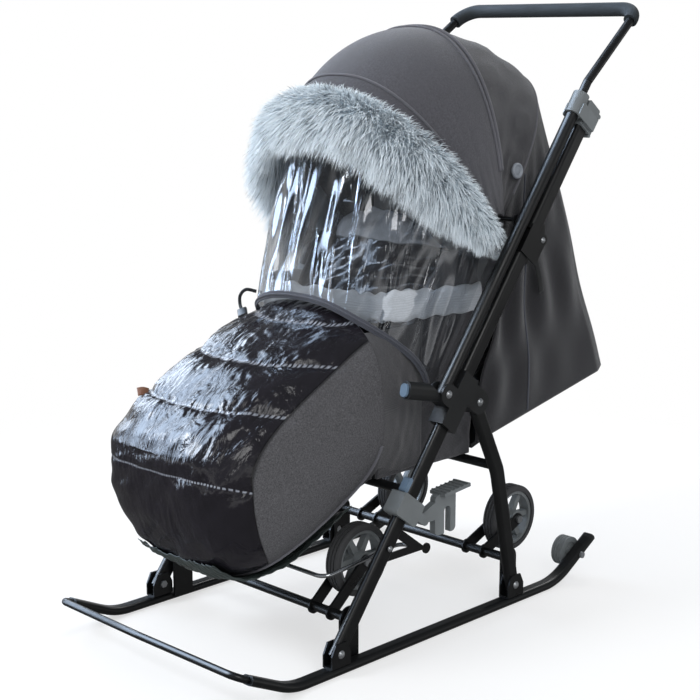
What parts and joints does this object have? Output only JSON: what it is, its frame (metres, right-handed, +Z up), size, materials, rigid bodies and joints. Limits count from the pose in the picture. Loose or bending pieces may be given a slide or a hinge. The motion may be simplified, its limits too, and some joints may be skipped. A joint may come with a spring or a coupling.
{
  "type": "sled stroller",
  "caption": "Sled stroller with steel runners, retractable spoked wheels, flip-over handle, folding hood with clear window and quilted foot muff.",
  "frame": {"origin": "ground level under the centre of the bounding box", "axes": "+X to the right side of the seated child, +Y to the rear where the handle is, +Z up"},
  "size_m": [0.4928, 1.0402, 1.0609],
  "materials": {
    "frame_paint": "semi gloss black powder coat",
    "grey_plastic": "moulded, fine grain",
    "black_plastic": "moulded, fine grain",
    "blue_grey_plastic": "moulded, smooth",
    "tyre_rubber": "ribbed",
    "zinc": "zinc plated",
    "chrome_wire": "polished",
    "foam_grip": "closed-cell foam",
    "hood_fabric": "woven, dark grey brown",
    "fur": "short pile faux fur",
    "clear_film": "clear soft film",
    "quilt_satin": "quilted, shiny",
    "seat_fabric": "padded weave"
  },
  "bodies": {
    "frame": {"runner_right": "frame_paint", "runner_left": "frame_paint", "front_bow": "frame_paint", "runner_end_caps": "black_plastic", "frame_brackets": "frame_paint", "main_tube_right": "frame_paint", "main_tube_left": "frame_paint", "rear_leg_right": "frame_paint", "rear_leg_left": "frame_paint", "housing_right": "black_plastic", "housing_left": "black_plastic", "clamp_right": "grey_plastic", "clamp_left": "grey_plastic", "clamp_tabs": "blue_grey_plastic", "fold_brackets": "frame_paint", "frame_bolts": "zinc", "muff_wire": "chrome_wire", "seat_bars": "frame_paint", "seat_board": "black_plastic", "seat_cloth": "seat_fabric", "foot_muff": "quilt_satin", "hood_rear": "hood_fabric", "cabin_cloth": "hood_fabric"},
    "handle": {"handle_tube_right": "frame_paint", "handle_tube_left": "frame_paint", "handle_collars": "grey_plastic"},
    "handle_bow": {"handle_bow": "frame_paint", "handle_grip": "foam_grip"},
    "upper_tubes": {"upper_tube_right": "frame_paint", "upper_tube_left": "frame_paint", "latch_cap_right": "grey_plastic", "latch_cap_left": "grey_plastic"},
    "thumb_lever_right": {"thumb_lever_right": "grey_plastic"},
    "thumb_lever_left": {"thumb_lever_left": "grey_plastic"},
    "push_button_right": {"push_button_right": "blue_grey_plastic"},
    "push_button_left": {"push_button_left": "blue_grey_plastic"},
    "hook_lever_right": {"hook_lever_right": "grey_plastic"},
    "hook_lever_left": {"hook_lever_left": "grey_plastic"},
    "front_wheel_lift": {"front_carrier": "frame_paint", "front_shaft_plugs": "grey_plastic", "front_axles": "zinc"},
    "rear_wheel_lift": {"rear_carrier": "frame_paint", "rear_shaft_plugs": "grey_plastic", "rear_axles": "zinc"},
    "front_wheel_right": {"front_rim_right": "grey_plastic", "front_tyre_right": "tyre_rubber"},
    "front_wheel_left": {"front_rim_left": "grey_plastic", "front_tyre_left": "tyre_rubber"},
    "rear_wheel_right": {"rear_rim_right": "grey_plastic", "rear_tyre_right": "tyre_rubber"},
    "rear_wheel_left": {"rear_rim_left": "grey_plastic", "rear_tyre_left": "tyre_rubber"},
    "transport_wheel_right": {"transport_wheel_right": "grey_plastic"},
    "transport_wheel_left": {"transport_wheel_left": "grey_plastic"},
    "back_rest": {"back_board": "black_plastic", "back_pad": "seat_fabric"},
    "leg_rest": {"leg_rest": "black_plastic"},
    "hood_front": {"hood_front": "hood_fabric", "hood_trim": "fur", "window_film": "clear_film"}
  },
  "joints": [
    {"name": "handle_swing", "type": "hinge", "parent": "frame", "child": "handle", "pos_m": [0, -0.04735, 0.41984], "axis": [1, 0, 0], "range_deg": [0, 78]},
    {"name": "handle_extend", "type": "slide", "parent": "handle", "child": "handle_bow", "axis": [0, 0.6018, 0.7986], "range_m": [0, 0.1]},
    {"name": "upper_tube_fold", "type": "hinge", "parent": "frame", "child": "upper_tubes", "pos_m": [0, 0.2009, 0.65224], "axis": [-1, 0, 0], "range_deg": [0, 165]},
    {"name": "thumb_lever_right_turn", "type": "hinge", "parent": "upper_tubes", "child": "thumb_lever_right", "pos_m": [0.227, 0.35407, 0.85799], "axis": [1, 0, 0], "range_deg": [0, 25], "stiffness_Nm_per_rad": 0.06, "springref_deg": -22.92},
    {"name": "push_button_right_press", "type": "slide", "parent": "frame", "child": "push_button_right", "axis": [0, 0.9763, -0.2164], "range_m": [0, 0.006], "stiffness_N_per_m": 500, "springref_m": -0.004},
    {"name": "hook_lever_right_press", "type": "hinge", "parent": "frame", "child": "hook_lever_right", "pos_m": [0.227, -0.10202, 0.21436], "axis": [-1, 0, 0], "range_deg": [0, 18], "stiffness_Nm_per_rad": 0.6, "springref_deg": -20.05},
    {"name": "thumb_lever_left_turn", "type": "hinge", "parent": "upper_tubes", "child": "thumb_lever_left", "pos_m": [-0.227, 0.35407, 0.85799], "axis": [1, 0, 0], "range_deg": [0, 25], "stiffness_Nm_per_rad": 0.06, "springref_deg": -22.92},
    {"name": "push_button_left_press", "type": "slide", "parent": "frame", "child": "push_button_left", "axis": [0, 0.9763, -0.2164], "range_m": [0, 0.006], "stiffness_N_per_m": 500, "springref_m": -0.004},
    {"name": "hook_lever_left_press", "type": "hinge", "parent": "frame", "child": "hook_lever_left", "pos_m": [-0.227, -0.10202, 0.21436], "axis": [-1, 0, 0], "range_deg": [0, 18], "stiffness_Nm_per_rad": 0.6, "springref_deg": -20.05},
    {"name": "front_wheels_lower", "type": "hinge", "parent": "frame", "child": "front_wheel_lift", "pos_m": [0, -0.25202, 0.078], "axis": [-1, 0, 0], "range_deg": [0, 60]},
    {"name": "rear_wheels_lower", "type": "hinge", "parent": "frame", "child": "rear_wheel_lift", "pos_m": [0, 0.15498, 0.078], "axis": [-1, 0, 0], "range_deg": [0, 42]},
    {"name": "front_wheel_right_roll", "type": "hinge", "parent": "front_wheel_lift", "child": "front_wheel_right", "pos_m": [0.152, -0.17235, 0.14485], "axis": [1, 0, 0], "continuous": true},
    {"name": "rear_wheel_right_roll", "type": "hinge", "parent": "rear_wheel_lift", "child": "rear_wheel_right", "pos_m": [0.135, 0.2514, 0.11696], "axis": [1, 0, 0], "continuous": true},
    {"name": "transport_wheel_right_roll", "type": "hinge", "parent": "frame", "child": "transport_wheel_right", "pos_m": [0.202, 0.33866, 0.04578], "axis": [1, 0, 0], "continuous": true},
    {"name": "front_wheel_left_roll", "type": "hinge", "parent": "front_wheel_lift", "child": "front_wheel_left", "pos_m": [-0.152, -0.17235, 0.14485], "axis": [1, 0, 0], "continuous": true},
    {"name": "rear_wheel_left_roll", "type": "hinge", "parent": "rear_wheel_lift", "child": "rear_wheel_left", "pos_m": [-0.135, 0.2514, 0.11696], "axis": [1, 0, 0], "continuous": true},
    {"name": "transport_wheel_left_roll", "type": "hinge", "parent": "frame", "child": "transport_wheel_left", "pos_m": [-0.202, 0.33866, 0.04578], "axis": [1, 0, 0], "continuous": true},
    {"name": "back_rest_tilt", "type": "hinge", "parent": "frame", "child": "back_rest", "pos_m": [0, 0.11498, 0.274], "axis": [1, 0, 0], "range_deg": [0, 45]},
    {"name": "leg_rest_tilt", "type": "hinge", "parent": "frame", "child": "leg_rest", "pos_m": [0, -0.13902, 0.274], "axis": [-1, 0, 0], "range_deg": [0, 25]},
    {"name": "hood_fold", "type": "hinge", "parent": "frame", "child": "hood_front", "pos_m": [0, 0.15386, 0.69019], "axis": [-1, 0, 0], "range_deg": [0, 44]}
  ]
}
